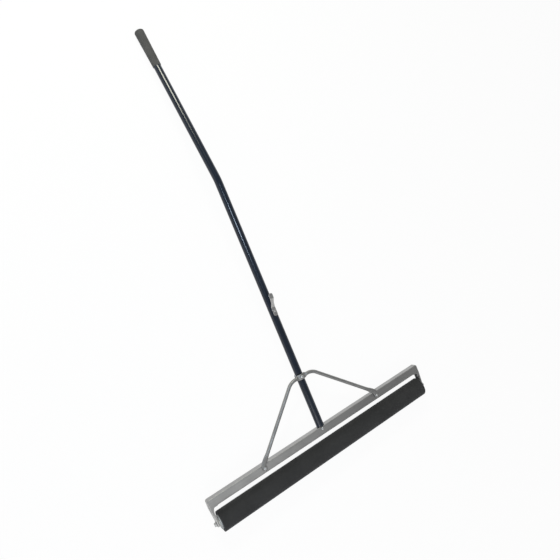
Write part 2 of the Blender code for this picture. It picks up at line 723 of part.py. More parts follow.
def brace_rings(path):
    """Sections of the rod along its centre line, pressed flat at its feet and over the handle."""
    steps = [0] + [(after - before).length for before, after in zip(path, path[1:])]
    reach = np.cumsum(steps)
    rings = []
    for index, point in enumerate(path):
        along = (path[min(index + 1, len(path) - 1)] - path[max(index - 1, 0)]).normalized()
        outward = (Vector((0, 1, 0)) - along * along.y).normalized()
        sideways = along.cross(outward)
        thick, width = pressed_section(point.x, min(reach[index], reach[-1] - reach[index]))
        points = []
        for k in range(ROD_SIDES):
            turn = 2 * math.pi * (k + 0.5) / ROD_SIDES
            pressed = max(-thick, min(thick, BRACE_RADIUS * math.sin(turn)))
            points.append(point + sideways * width * math.cos(turn) + outward * pressed)
        rings.append(points)
    return rings


def make_brace():
    mesh = loft("bow_brace", brace_rings(brace_path()))
    smooth_mesh(mesh)
    brace = link("bow_brace", mesh, Matrix.Identity(4), BRACE, frame_group)
    hole = FOOT_BOLT_RADIUS + HOLE_CLEARANCE
    for side, x, z in (("left", -FOOT_SPREAD, FOOT_Z), ("right", FOOT_SPREAD, FOOT_Z), ("middle", 0, BRACE_Z)):
        cut(brace, cylinder(f"brace_hole_{side}", hole, -BRACE_RADIUS, BRACE_RADIUS, SMALL_SIDES,
                            place(x, BRACE_Y, z) @ TO_MINUS_Y))


def make_saddle_fastening():
    """The bolt through the pressed middle of the brace and through the handle."""
    front = -(SADDLE_RADIUS + PRESSED_HALF + GAP)
    washer_seat = TUBE_RADIUS + GAP
    nut_seat = washer_seat + SADDLE_WASHER + GAP
    hole = FOOT_BOLT_RADIUS + HOLE_CLEARANCE
    bolt("saddle_bolt", FOOT_BOLT_RADIUS, FOOT_BOLT_HEAD, FOOT_BOLT_CROWN, nut_seat - front + FOOT_NUT + FOOT_BOLT_TAIL,
         place(y=front, z=BRACE_Z) @ TO_MINUS_Y)
    washer("saddle_washer", SADDLE_WASHER_RADIUS, hole, SADDLE_WASHER, place(y=washer_seat, z=BRACE_Z) @ TO_Y)
    nut("saddle_nut", FOOT_NUT_WIDTH, hole, FOOT_NUT, place(y=nut_seat, z=BRACE_Z) @ TO_Y)


def make_foot_fastening(side, sign):
    outside = PRESSED_HALF + GAP
    inside = -(HALF_DEPTH - SHEET - GAP)
    length = BRACE_Y - outside - inside
    reach = abs(length) + FOOT_NUT + FOOT_BOLT_TAIL
    bolt(f"foot_bolt_{side}", FOOT_BOLT_RADIUS, FOOT_BOLT_HEAD, FOOT_BOLT_CROWN, reach,
         place(sign * FOOT_SPREAD, BRACE_Y - outside, FOOT_Z) @ TO_MINUS_Y)
    nut(f"foot_nut_{side}", FOOT_NUT_WIDTH, FOOT_BOLT_RADIUS + HOLE_CLEARANCE, FOOT_NUT,
        place(sign * FOOT_SPREAD, inside, FOOT_Z) @ TO_Y)


def rivet_place():
    return Matrix.Rotation(HOOK_TURN, 4, "Z") @ place(z=RIVET_Z) @ TO_MINUS_Y


def hook_frame():
    """Turns +X to point out of the handle's front, a little to the right, +Y up and +Z across."""
    outward = Matrix(((0, 0, 1, 0), (-1, 0, 0, 0), (0, 1, 0, 0), (0, 0, 0, 1)))
    return Matrix.Rotation(HOOK_TURN, 4, "Z") @ place(z=HOOK_Z) @ outward


def hook_half_width(height, top):
    """Half the strap's width: round at both ends and waisted where the strap steps out."""
    width = HOOK_WIDTH / 2
    edge = HOOK_CORNER - min(height, top - height)
    if edge > 0:
        width -= HOOK_CORNER - math.sqrt(max(HOOK_CORNER ** 2 - edge ** 2, 0))
    share = min(max((height - HOOK_FLAT) / HOOK_STEP, 0), 1)
    return width - HOOK_WAIST * math.sin(math.pi * share) ** 2


def make_hook():
    flat = TUBE_RADIUS + GAP + HOOK_SHEET / 2
    out = flat + HOOK_THROAT
    step_top = HOOK_FLAT + HOOK_STEP
    top = step_top + HOOK_LEG
    ends = [HOOK_CORNER * (1 - math.cos(math.radians(angle))) for angle in (0, 25, 50, 70, 90)]
    slant = [((flat + HOOK_THROAT * share, HOOK_FLAT + HOOK_STEP * share, 0), 0) for share in (0.3, 0.4, 0.5, 0.6, 0.7)]
    path = rounded([((flat, rise, 0), 0) for rise in ends] + [((flat, HOOK_FLAT, 0), HOOK_BEND_RADIUS)] + slant
                   + [((out, step_top, 0), HOOK_BEND_RADIUS)] + [((out, top - drop, 0), 0) for drop in ends[::-1]])
    outline = ribbon(path, HOOK_SHEET)
    rings = []
    for point, near, far in zip(path, outline[:len(path)], outline[:len(path) - 1:-1]):
        side = Vector((0, 0, hook_half_width(point.y, top)))
        rings.append([near + side, near - side, far - side, far + side])
    hook = link("fence_hook", loft("fence_hook", rings), hook_frame(), STEEL, frame_group)
    cut(hook, cylinder("strap_hole", RIVET_RADIUS + HOLE_CLEARANCE, 0, 2 * TUBE_RADIUS, SMALL_SIDES, rivet_place()))
    make_rivet("hook_rivet", rivet_place() @ place(z=flat + HOOK_SHEET / 2 + GAP))


def make_rivet(name, matrix):
    """A blind rivet: its head stands above Z = 0 and its tail swells inside the tube."""
    profile = [(0, RIVET_CROWN)]
    for step in range(1, 4):
        turn = math.radians(22.5 * step)
        profile.append((RIVET_HEAD * math.sin(turn), RIVET_CROWN * math.cos(turn)))
    swell = -(HOOK_SHEET + 2 * GAP + TUBE_WALL + GAP)
    profile += [(RIVET_HEAD, 0), (RIVET_RADIUS, 0), (RIVET_RADIUS, swell), (RIVET_TAIL_RADIUS, swell - GAP),
                (RIVET_TAIL_RADIUS, swell - RIVET_TAIL), (0, swell - RIVET_TAIL)]
    turned(name, profile, SMALL_SIDES, matrix, STEEL)


def centre_on_floor():
    """Moves the squeegee so that the bottom centre of its box is at the origin."""
    bpy.context.view_layer.update()
    graph = bpy.context.evaluated_depsgraph_get()
    low, high = np.full(3, np.inf), np.full(3, -np.inf)
    for thing in parts.objects:
        if thing.type != "MESH":
            continue
        shown = thing.evaluated_get(graph)
        points = np.empty(3 * len(shown.data.vertices))
        shown.data.vertices.foreach_get("co", points)
        matrix = np.array(shown.matrix_world)
        world = points.reshape(-1, 3) @ matrix[:3, :3].T + matrix[:3, 3]
        low = np.minimum(low, world.min(axis=0))
        high = np.maximum(high, world.max(axis=0))
    squeegee.location = (-(low[0] + high[0]) / 2, -(low[1] + high[1]) / 2, -low[2])


def smooth_turned_pieces():
    for thing in parts.objects:
        if thing.type == "MESH" and thing.data.polygons:
            smooth_mesh(thing.data)


make_roller()
make_axle()
for end_name, turn_out in (("left", TO_MINUS_X), ("right", TO_X)):
    make_roller_end(end_name, turn_out)
    make_axle_fittings(end_name, turn_out)
make_yoke()
make_handle()
make_grip()
make_brace()
make_saddle_fastening()
for side_name, side_sign in (("left", -1), ("right", 1)):
    make_foot_fastening(side_name, side_sign)
make_hook()
smooth_turned_pieces()
centre_on_floor()
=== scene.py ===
"""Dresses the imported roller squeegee: finished pieces, materials, floor, light and camera.

Pieces are worked out upright, as the squeegee stands: +X along the roller, +Z up the handle and
-Y to the front, from the middle of the roller's axis. lay_down() then puts them where the CAD lies.
"""
import math

import bmesh
import bpy
from mathutils import Matrix, Vector


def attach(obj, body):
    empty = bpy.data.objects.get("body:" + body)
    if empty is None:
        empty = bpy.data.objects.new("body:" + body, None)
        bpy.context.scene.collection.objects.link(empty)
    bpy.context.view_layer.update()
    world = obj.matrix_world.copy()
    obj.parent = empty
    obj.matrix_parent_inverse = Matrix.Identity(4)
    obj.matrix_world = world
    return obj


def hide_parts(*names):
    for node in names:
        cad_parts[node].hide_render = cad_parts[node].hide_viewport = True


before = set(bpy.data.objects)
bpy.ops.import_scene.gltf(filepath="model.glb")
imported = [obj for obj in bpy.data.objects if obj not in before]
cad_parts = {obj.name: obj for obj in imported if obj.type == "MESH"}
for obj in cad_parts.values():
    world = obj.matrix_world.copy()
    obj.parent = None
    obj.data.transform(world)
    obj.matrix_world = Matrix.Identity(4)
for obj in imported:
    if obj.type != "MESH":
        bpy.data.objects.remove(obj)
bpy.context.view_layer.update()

# How the squeegee lies on the floor
LYING_ANGLE = 0.0810013
AXIS_BACK = -0.83388
AXIS_HEIGHT = 0.034758

# Roller
FOAM_LENGTH = 0.914
FOAM_RADIUS = 0.03475
FOAM_BORE = 0.0214
FOAM_EDGE = 0.0012
PLUG_FACE = 0.4573
PLUG_RADIUS = 0.024
PLUG_FLANGE = 0.004
PLUG_SPIGOT = 0.032
SPIGOT_RADIUS = 0.0173
SPIGOT_LEAD = 0.001
BUSH_HOLE = 0.0083
PLUG_EDGE = 0.0006
PLUG_EDGE_MIDDLE = 0.00018
PLUG_CORNER = 0.0004
HUB_RADIUS = 0.0128
DISH_INNER = 0.0136
DISH_OUTER = 0.0203
RIM_RADIUS = 0.0211
DISH_DEPTH = 0.0009

# Axle fittings
AXLE_HOLE = 0.0042688
THRUST_FACE = 0.4639
THRUST_RADIUS = 0.0095
THRUST_WASHER = 0.0016
SPACER_FACE = 0.4658
SPACER_RADIUS = 0.0072
SPACER_LENGTH = 0.0022
WASHER_FACE = 0.471775
WASHER_RADIUS = 0.0080
WASHER = 0.0012
NUT_FACE = 0.473275
NUT_WIDTH = 0.0127
NUT = 0.0048
AXLE_RADIUS = 0.0039688
AXLE_END = 0.478875

# Handle and grip
TUBE_RADIUS = 0.0142875
TUBE_WALL = 0.0016
YOKE_TOP = 0.086
KNEE_Z = 1.049
UPPER_HANDLE = 0.6629
BEND_ANGLE = 0.2355
BEND_RADIUS = 0.120
GRIP_LENGTH = 0.165
GRIP_END_RADIUS = 0.01864
GRIP_MOUTH_RADIUS = 0.01635
GRIP_END_ROUND = 0.006
GRIP_MOUTH = 0.006
GRIP_CAP = 0.006
GAP = 0.0003
UP_THE_GRIP = Vector((0, math.sin(BEND_ANGLE), math.cos(BEND_ANGLE)))
GRIP_END = Vector((0, 0, KNEE_Z)) + UPPER_HANDLE * UP_THE_GRIP

# Bow brace
BRACE_RADIUS = 0.00635
BRACE_Z = 0.282
BRACE_Y = -0.016
BRACE_BEND_RADIUS = 0.050
BRACE_SHOULDER = 0.0465
PRESSED_HALF = 0.003
SADDLE_RADIUS = 0.0175875
SADDLE_WRAP = math.radians(25)
SADDLE_END = 0.0127
SADDLE_EASE = 0.012
SADDLE_BLEND = 0.0105
SADDLE_HALF_WIDTH = 0.010
FOOT_SPREAD = 0.2547
FOOT_Z = 0.073
FOOT_HALF_WIDTH = 0.00875
FOOT_PRESSED = 0.034
FOOT_BLEND = 0.030
ANKLE_RADIUS = 0.015
ANKLE_RISE = 0.012
SQUARE_THICK = 0.55
SQUARE_WIDE = 0.25
SAME_POINT = 0.00001

# Fence hook
HOOK_Z = 0.520
HOOK_TURN = math.radians(6)
HOOK_WIDTH = 0.0156
HOOK_WAIST = 0.0020
HOOK_SHEET = 0.0025
HOOK_FLAT = 0.032
HOOK_STEP = 0.034
HOOK_LEG = 0.018
HOOK_THROAT = 0.0175
HOOK_BEND_RADIUS = 0.008
HOOK_CORNER = 0.0055
RIVET_UP = 0.0175
RIVET_HEAD = 0.0048
RIVET_CROWN = 0.0016
RIVET_SHANK = 0.0024
RIVET_LENGTH = 0.0078

# Bolts and nuts of the frame
HALF_DEPTH = 0.0127
HANDLE_BOLT_Z = 0.0775
HANDLE_BOLT_RADIUS = 0.003175
HANDLE_BOLT_HEAD = 0.0053
HANDLE_BOLT_CROWN = 0.0034
HANDLE_NUT_SEAT = 0.0147
HANDLE_NUT_WIDTH = 0.0111
HANDLE_NUT = 0.0056
HANDLE_BOLT_TAIL = 0.0015
SMALL_BOLT_RADIUS = 0.003
SMALL_BOLT_HEAD = 0.0055
SMALL_BOLT_CROWN = 0.0030
SMALL_BOLT_TAIL = 0.0010
SMALL_NUT_WIDTH = 0.0100
SMALL_NUT = 0.0045
FOOT_NUT_SEAT = 0.009225
SADDLE_NUT_SEAT = 0.0160875
SADDLE_WASHER_RADIUS = 0.0065
SADDLE_WASHER = 0.0012
HANDLE_WASHER_RADIUS = 0.0066
HANDLE_WASHER = 0.0014
FLAT_WASHER_EDGE = 0.00025
HANDLE_THREAD = 0.010
SADDLE_THREAD = 0.009
FOOT_THREAD = 0.007
SMALL_THREAD_DEPTH = 0.00025
SMALL_PITCH = 0.001
SMALL_PLAIN_END = 0.0005

TO_X = Matrix.Rotation(math.pi / 2, 4, "Y")
TO_MINUS_X = Matrix.Rotation(-math.pi / 2, 4, "Y")
TO_MINUS_Y = Matrix.Rotation(math.pi / 2, 4, "X")
TO_Y = Matrix.Rotation(-math.pi / 2, 4, "X")


# Placing and finishing

def lay_down():
    turn = Matrix.Rotation(LYING_ANGLE - math.pi / 2, 4, "X")
    return Matrix.Translation((0, AXIS_BACK, AXIS_HEIGHT)) @ turn


LAY_DOWN = lay_down()


def place(x=0.0, y=0.0, z=0.0):
    return Matrix.Translation((x, y, z))


def point_normals_outwards(mesh):
    work = bmesh.new()
    work.from_mesh(mesh)
    bmesh.ops.remove_doubles(work, verts=work.verts, dist=1e-7)
    bmesh.ops.recalc_face_normals(work, faces=work.faces)
    work.to_mesh(mesh)
    work.free()


def finish_piece(name, mesh, matrix, material, body, nodes, sharp=32):
    """Lays a mesh made upright down on the frame and hands it to its body in place of these nodes."""
    mesh.name = name
    mesh.transform(LAY_DOWN @ matrix)
    mesh.materials.clear()
    mesh.materials.append(material)
    mesh.shade_smooth()
    mesh.set_sharp_from_angle(angle=math.radians(sharp))
    piece = bpy.data.objects.new(name, mesh)
    bpy.context.scene.collection.objects.link(piece)
    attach(piece, body)
    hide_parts(*nodes)
    return piece


def rounded(corners, step=math.radians(5)):
    """Points of a line through corners given as (point, radius), with each radius as an arc."""
    path = []
    for index, (point, radius) in enumerate(corners):
        corner = Vector(point)
        if radius == 0 or index in (0, len(corners) - 1):
            path.append(corner)
            continue
        back = (Vector(corners[index - 1][0]) - corner).normalized()
        ahead = (Vector(corners[index + 1][0]) - corner).normalized()
        half = back.angle(ahead) / 2
        centre = corner + (back + ahead).normalized() * radius / math.sin(half)
        first = corner + back * radius / math.tan(half) - centre
        last = corner + ahead * radius / math.tan(half) - centre
        turn = math.pi - 2 * half
        count = max(3, math.ceil(turn / step))
        axis = first.cross(last).normalized()
        for k in range(count + 1):
            path.append(centre + Matrix.Rotation(turn * k / count, 3, axis) @ first)
    return path


def turned_mesh(name, profile, sides, closed=False):
    """A profile of (radius, height) points, run down its outer side, turned about Z."""
    mesh = bpy.data.meshes.new(name)
    work = bmesh.new()
    rings = []
    for radius, height in profile:
        if radius < 1e-9:
            rings.append([work.verts.new((0, 0, height))])
            continue
        turns = [2 * math.pi * k / sides for k in range(sides)]
        rings.append([work.verts.new((radius * math.cos(a), radius * math.sin(a), height)) for a in turns])
    pairs = list(zip(rings, rings[1:]))
    if closed:
        pairs.append((rings[-1], rings[0]))
    for upper, lower in pairs:
        for k in range(sides):
            after = (k + 1) % sides
            corners = [upper[k % len(upper)], lower[k % len(lower)], lower[after % len(lower)],
                       upper[after % len(upper)]]
            work.faces.new(list(dict.fromkeys(corners)))
    bmesh.ops.recalc_face_normals(work, faces=work.faces)
    work.to_mesh(mesh)
    work.free()
    return mesh


def loft_mesh(name, rings, reach):
    """A closed skin over rings of points, with a UV map that runs round and along it in metres."""
    mesh = bpy.data.meshes.new(name)
    work = bmesh.new()
    layer = work.loops.layers.uv.new("along")
    loops = [[work.verts.new(point) for point in points] for points in rings]
    count = len(rings[0])
    for index, (near, far) in enumerate(zip(loops, loops[1:])):
        for k in range(count):
            after = (k + 1) % count
            face = work.faces.new((near[k], near[after], far[after], far[k]))
            round_it = ((k, 0), (k + 1, 0), (k + 1, 1), (k, 1))
            for corner, (u, v) in zip(face.loops, round_it):
                corner[layer].uv = (u / count, reach[index + v])
    work.faces.new(loops[0][::-1])
    work.faces.new(loops[-1])
    bmesh.ops.recalc_face_normals(work, faces=work.faces)
    work.to_mesh(mesh)
    work.free()
    return mesh


def joined_mesh(name, *meshes):
    mesh = bpy.data.meshes.new(name)
    work = bmesh.new()
    for part in meshes:
        work.from_mesh(part)
    work.to_mesh(mesh)
    work.free()
    return mesh


# Geometry Nodes

def new_tree(name, sizes, takes_mesh=False):
    """An empty geometry tree with these named number inputs, and its two end nodes."""
    tree = bpy.data.node_groups.new(name, "GeometryNodeTree")
    if takes_mesh:
        tree.interface.new_socket("Mesh", in_out="INPUT", socket_type="NodeSocketGeometry")
    for label, default in sizes.items():
        kind = "NodeSocketInt" if isinstance(default, int) else "NodeSocketFloat"
        tree.interface.new_socket(label, in_out="INPUT", socket_type=kind).default_value = default
    tree.interface.new_socket("Material", in_out="INPUT", socket_type="NodeSocketMaterial")
    tree.interface.new_socket("Mesh", in_out="OUTPUT", socket_type="NodeSocketGeometry")
    return tree, tree.nodes.new("NodeGroupInput"), tree.nodes.new("NodeGroupOutput")


def add_node(tree, kind, settings=None, **values):
    """A node with its settings, and with socket values or links given by socket name."""
    node = tree.nodes.new(kind)
    for key, value in (settings or {}).items():
        setattr(node, key, value)
    for key, value in values.items():
        set_input(tree, node, key.replace("_", " "), value)
    return node


def set_input(tree, node, key, value):
    socket = node.inputs[key]
    if isinstance(value, bpy.types.NodeSocket):
        tree.links.new(value, socket)
    else:
        socket.default_value = value


def maths(tree, operation, first, second=0.0):
    node = tree.nodes.new("ShaderNodeMath")
    node.operation = operation
    for index, value in enumerate((first, second)):
        set_input(tree, node, index, value)
    return node.outputs[0]


def vector_of(tree, x=0.0, y=0.0, z=0.0):
    return add_node(tree, "ShaderNodeCombineXYZ", X=x, Y=y, Z=z).outputs[0]


def end_tree(tree, ends, mesh):
    """Realizes instances, sets the material and leads out."""
    start, end = ends
    real = add_node(tree, "GeometryNodeRealizeInstances", Geometry=mesh)
    painted = add_node(tree, "GeometryNodeSetMaterial", Geometry=real.outputs[0],
                       Material=start.outputs["Material"])
    tree.links.new(painted.outputs[0], end.inputs[0])
    return tree


def revolved_ring_tree():
    """A ring round Z with rounded edges: foam, washers and spacers are all of this form."""
    defaults = {"Length": 0.01, "Outer Radius": 0.01, "Bore Radius": 0.005, "Edge Round": 0.0003, "Sides": 48,
                "Step": 0.01, "Swell": 0.0, "Seed": 1}
    tree, start, end = new_tree("revolved_ring", defaults)
    size = start.outputs
    wall = maths(tree, "SUBTRACT", size["Outer Radius"], size["Bore Radius"])
    middle = maths(tree, "MULTIPLY", maths(tree, "ADD", size["Outer Radius"], size["Bore Radius"]), 0.5)
    section = add_node(tree, "GeometryNodeCurvePrimitiveQuadrilateral", Width=wall, Height=size["Length"])
    soft = add_node(tree, "GeometryNodeFilletCurve", {"mode": "POLY"}, Curve=section.outputs[0], Count=4,
                    Radius=size["Edge Round"])
    divided = add_node(tree, "GeometryNodeSubdivideCurve", Curve=soft.outputs[0])
    cuts = maths(tree, "FLOOR", maths(tree, "DIVIDE", size["Length"], size["Step"]))
    spline_points = add_node(tree, "GeometryNodeInputPosition")
    height = add_node(tree, "ShaderNodeSeparateXYZ", Vector=spline_points.outputs[0]).outputs["Y"]
    half = maths(tree, "MULTIPLY", size["Length"], 0.5)
    straight = maths(tree, "SUBTRACT", half, maths(tree, "MULTIPLY", size["Edge Round"], 1.01))
    at_end = maths(tree, "LESS_THAN", maths(tree, "ABSOLUTE", height), maths(tree, "ADD", straight, 1e-4))
    tree.links.new(maths(tree, "MULTIPLY", cuts, at_end), divided.inputs["Cuts"])
    circle = add_node(tree, "GeometryNodeCurvePrimitiveCircle", Resolution=size["Sides"], Radius=middle)
    swept = add_node(tree, "GeometryNodeCurveToMesh", Curve=circle.outputs[0],
                     Profile_Curve=divided.outputs[0])
    lumps = add_node(tree, "ShaderNodeTexNoise", {"noise_dimensions": "4D"}, W=size["Seed"], Scale=14.0,
                     Detail=2.0)
    bulge = maths(tree, "MULTIPLY", maths(tree, "SUBTRACT", lumps.outputs[0], 0.6), size["Swell"])
    normal = add_node(tree, "GeometryNodeInputNormal")
    offset = add_node(tree, "ShaderNodeVectorMath", {"operation": "SCALE"}, Vector=normal.outputs[0],
                      Scale=bulge)
    moved = add_node(tree, "GeometryNodeSetPosition", Geometry=swept.outputs[0], Offset=offset.outputs[0])
    return end_tree(tree, (start, end), moved.outputs[0])


def bent_tube_tree():
    """The handle's outer skin, swept along the line of its own mesh with the knee rounded."""
    defaults = {"Radius": 0.014, "Bend Radius": 0.12, "Sides": 64, "Bend Steps": 32}
    tree, start, end = new_tree("bent_tube", defaults, takes_mesh=True)
    size = start.outputs
    line = add_node(tree, "GeometryNodeMeshToCurve", Mesh=size["Mesh"])
    bent = add_node(tree, "GeometryNodeFilletCurve", {"mode": "POLY"}, Curve=line.outputs[0],
                    Count=size["Bend Steps"], Radius=size["Bend Radius"])
    circle = add_node(tree, "GeometryNodeCurvePrimitiveCircle", Resolution=size["Sides"],
                      Radius=size["Radius"])
    swept = add_node(tree, "GeometryNodeCurveToMesh", Curve=bent.outputs[0], Profile_Curve=circle.outputs[0])
    return end_tree(tree, (start, end), swept.outputs[0])


def hexagon_nut_tree():
    """A nut with its seat at Z = 0, its outer corners chamfered and its bore cut through."""
    tree, start, end = new_tree("hexagon_nut", {"Width": 0.01, "Height": 0.005, "Bore": 0.003})
    size = start.outputs
    corner = maths(tree, "MULTIPLY", size["Width"], 1 / math.sqrt(3))
    block = add_node(tree, "GeometryNodeMeshCylinder", Vertices=6, Radius=corner, Depth=size["Height"])
    top = maths(tree, "MULTIPLY", size["Width"], 0.475)
    bottom = maths(tree, "ADD", top, maths(tree, "MULTIPLY", size["Height"], math.sqrt(3)))
    cone = add_node(tree, "GeometryNodeMeshCone", Vertices=48, Radius_Top=top, Radius_Bottom=bottom,
                    Depth=size["Height"])
    lower = add_node(tree, "GeometryNodeTransform", Geometry=cone.outputs[0],
                     Translation=vector_of(tree, z=maths(tree, "MULTIPLY", size["Height"], -0.5)))
    chamfered = add_node(tree, "GeometryNodeMeshBoolean", {"operation": "INTERSECT"})
    tree.links.new(block.outputs[0], chamfered.inputs["Mesh 2"])
    tree.links.new(lower.outputs[0], chamfered.inputs["Mesh 2"])
    drill = add_node(tree, "GeometryNodeMeshCylinder", Vertices=32, Radius=size["Bore"],
                     Depth=maths(tree, "MULTIPLY", size["Height"], 3.0))
    bored = add_node(tree, "GeometryNodeMeshBoolean", {"operation": "DIFFERENCE"})
    tree.links.new(chamfered.outputs[0], bored.inputs["Mesh 1"])
    tree.links.new(drill.outputs[0], bored.inputs["Mesh 2"])
    seated = add_node(tree, "GeometryNodeTransform", Geometry=bored.outputs[0],
                      Translation=vector_of(tree, z=maths(tree, "MULTIPLY", size["Height"], 0.5)))
    return end_tree(tree, (start, end), seated.outputs[0])


def thread_tree():
    """A screw thread: a three-cornered ridge wound round Z, up from Z = 0."""
    tree, start, end = new_tree("screw_thread", {"Radius": 0.003, "Length": 0.004, "Pitch": 0.001})
    size = start.outputs
    turns = maths(tree, "DIVIDE", size["Length"], size["Pitch"])
    coil = add_node(tree, "GeometryNodeCurveSpiral", Resolution=28, Rotations=turns,
                    Start_Radius=size["Radius"], End_Radius=size["Radius"], Height=size["Length"])
    ridge = add_node(tree, "GeometryNodeCurvePrimitiveCircle", Resolution=3,
                     Radius=maths(tree, "MULTIPLY", size["Pitch"], 0.36))
    swept = add_node(tree, "GeometryNodeCurveToMesh", Curve=coil.outputs[0], Profile_Curve=ridge.outputs[0])
    set_input(tree, swept, "Fill Caps", True)
    return end_tree(tree, (start, end), swept.outputs[0])


def mesh_from_tree(name, tree, sizes, material, line=(), wall=None):
    """The plain mesh that a tree makes with these sizes, with a wall inside it if one is given."""
    host_mesh = bpy.data.meshes.new(name + "_line")
    host_mesh.from_pydata([tuple(p) for p in line], [(k, k + 1) for k in range(len(line) - 1)], [])
    host = bpy.data.objects.new(name + "_host", host_mesh)
    bpy.context.scene.collection.objects.link(host)
    modifier = host.modifiers.new("made_by_nodes", "NODES")
    modifier.node_group = tree
    for item in tree.interface.items_tree:
        if item.in_out == "INPUT" and item.name in sizes:
            modifier[item.identifier] = sizes[item.name]
        if item.in_out == "INPUT" and item.name == "Material":
            modifier[item.identifier] = material
    if wall:
        solid = host.modifiers.new("wall", "SOLIDIFY")
        solid.thickness = wall
        solid.offset = -1
    graph = bpy.context.evaluated_depsgraph_get()
    mesh = bpy.data.meshes.new_from_object(host.evaluated_get(graph))
    bpy.data.objects.remove(host, do_unlink=True)
    bpy.data.meshes.remove(host_mesh)
    point_normals_outwards(mesh)
    return mesh


# Materials

def new_material(name, colour, roughness, metallic=0.0, **sockets):
    """A Principled material with these values, each even over the surface until a texture is linked in."""
    material = bpy.data.materials.new(name)
    material.use_nodes = True
    shader = material.node_tree.nodes["Principled BSDF"]
    shader.inputs["Base Color"].default_value = (*colour, 1)
    shader.inputs["Roughness"].default_value = roughness
    shader.inputs["Metallic"].default_value = metallic
    for key, value in sockets.items():
        shader.inputs[key.replace("_", " ")].default_value = value
    return material, material.node_tree, shader


def object_coordinates(tree, scale=(1, 1, 1)):
    source = add_node(tree, "ShaderNodeTexCoord").outputs["Object"]
    return add_node(tree, "ShaderNodeMapping", Vector=source, Scale=scale).outputs[0]


def along_coordinates(tree, scale):
    source = add_node(tree, "ShaderNodeUVMap", {"uv_map": "along"}).outputs[0]
    return add_node(tree, "ShaderNodeMapping", Vector=source, Scale=scale).outputs[0]


def noise(tree, vector, scale, detail=3.0, roughness=0.5):
    node = add_node(tree, "ShaderNodeTexNoise", Vector=vector, Scale=scale, Detail=detail,
                    Roughness=roughness)
    return node.outputs[0]


def cells(tree, vector, scale):
    return add_node(tree, "ShaderNodeTexVoronoi", Vector=vector, Scale=scale).outputs["Distance"]


def ramp(tree, value, stops):
    """A colour ramp of (position, colour) stops; a single number stands for a grey."""
    node = add_node(tree, "ShaderNodeValToRGB", Fac=value)
    band = node.color_ramp
    while len(band.elements) < len(stops):
        band.elements.new(0.5)
    for element, (position, colour) in zip(band.elements, stops):
        element.position = position
        element.color = (colour, colour, colour, 1) if isinstance(colour, float) else (*colour, 1)
    return node.outputs["Color"]


def blend_colours(tree, first, second, factor, mode="MIX"):
    node = add_node(tree, "ShaderNodeMix", {"data_type": "RGBA", "blend_type": mode})
    set_input(tree, node, 0, factor)
    set_input(tree, node, 6, first)
    set_input(tree, node, 7, second)
    return node.outputs[2]


def stretch(tree, value, low, high):
    """A 0 to 1 value moved to run from low to high."""
    return add_node(tree, "ShaderNodeMapRange", Value=value, To_Min=low, To_Max=high).outputs[0]


def bump(tree, shader, height, distance, strength=1.0, below=None):
    node = add_node(tree, "ShaderNodeBump", Height=height, Distance=distance, Strength=strength)
    if below is not None:
        tree.links.new(below, node.inputs["Normal"])
    tree.links.new(node.outputs[0], shader.inputs["Normal"])
    return node.outputs[0]


def rolled_aluminium():
    """Mill-finish sheet: rolling lines along the yoke, handling smudges and small pits."""
    material, tree, shader = new_material("rolled_aluminium", (0.4, 0.4, 0.4), 0.42, 1.0)
    plain = object_coordinates(tree)
    lines = noise(tree, object_coordinates(tree, (3, 620, 620)), 1.0, 4.0, 0.6)
    smudges = noise(tree, plain, 9.0, 5.0, 0.6)
    pits = cells(tree, plain, 520.0)
    grain = ramp(tree, lines, ((0.3, (0.34, 0.34, 0.335)), (0.7, (0.44, 0.44, 0.435))))
    dulled = ramp(tree, smudges, ((0.3, 0.82), (0.65, 1.0)))
    tree.links.new(blend_colours(tree, grain, dulled, 1.0, "MULTIPLY"), shader.inputs["Base Color"])
    tree.links.new(stretch(tree, smudges, 0.46, 0.32), shader.inputs["Roughness"])
    low = bump(tree, shader, lines, 0.00004, 0.8)
    bump(tree, shader, ramp(tree, pits, ((0.0, 0.0), (0.22, 1.0))), 0.00003, 0.5, low)
    return material


def zinc_plate():
    """Bright zinc plating with a faint spangle, for fasteners."""
    material, tree, shader = new_material("zinc_plate", (0.5, 0.51, 0.52), 0.34, 1.0)
    plain = object_coordinates(tree)
    spangle = cells(tree, plain, 480.0)
    haze = noise(tree, plain, 160.0, 4.0)
    tone = ramp(tree, spangle, ((0.1, (0.42, 0.43, 0.44)), (0.8, (0.56, 0.56, 0.55))))
    tree.links.new(tone, shader.inputs["Base Color"])
    tree.links.new(stretch(tree, haze, 0.28, 0.46), shader.inputs["Roughness"])
    bump(tree, shader, haze, 0.00003, 0.5)
    return material


def drawn_rod():
    """Plated drawn rod: draw marks along its length and a little tarnish."""
    material, tree, shader = new_material("drawn_rod", (0.45, 0.45, 0.45), 0.4, 1.0)
    marks = noise(tree, along_coordinates(tree, (90, 5, 1)), 1.0, 3.0)
    tarnish = noise(tree, object_coordinates(tree), 28.0, 5.0, 0.6)
    bright = ramp(tree, marks, ((0.3, (0.27, 0.27, 0.265)), (0.7, (0.36, 0.36, 0.355))))
    dulled = ramp(tree, tarnish, ((0.35, 0.78), (0.6, 1.0)))
    tree.links.new(blend_colours(tree, bright, dulled, 1.0, "MULTIPLY"), shader.inputs["Base Color"])
    tree.links.new(stretch(tree, tarnish, 0.6, 0.46), shader.inputs["Roughness"])
    bump(tree, shader, marks, 0.00005, 0.7)
    return material


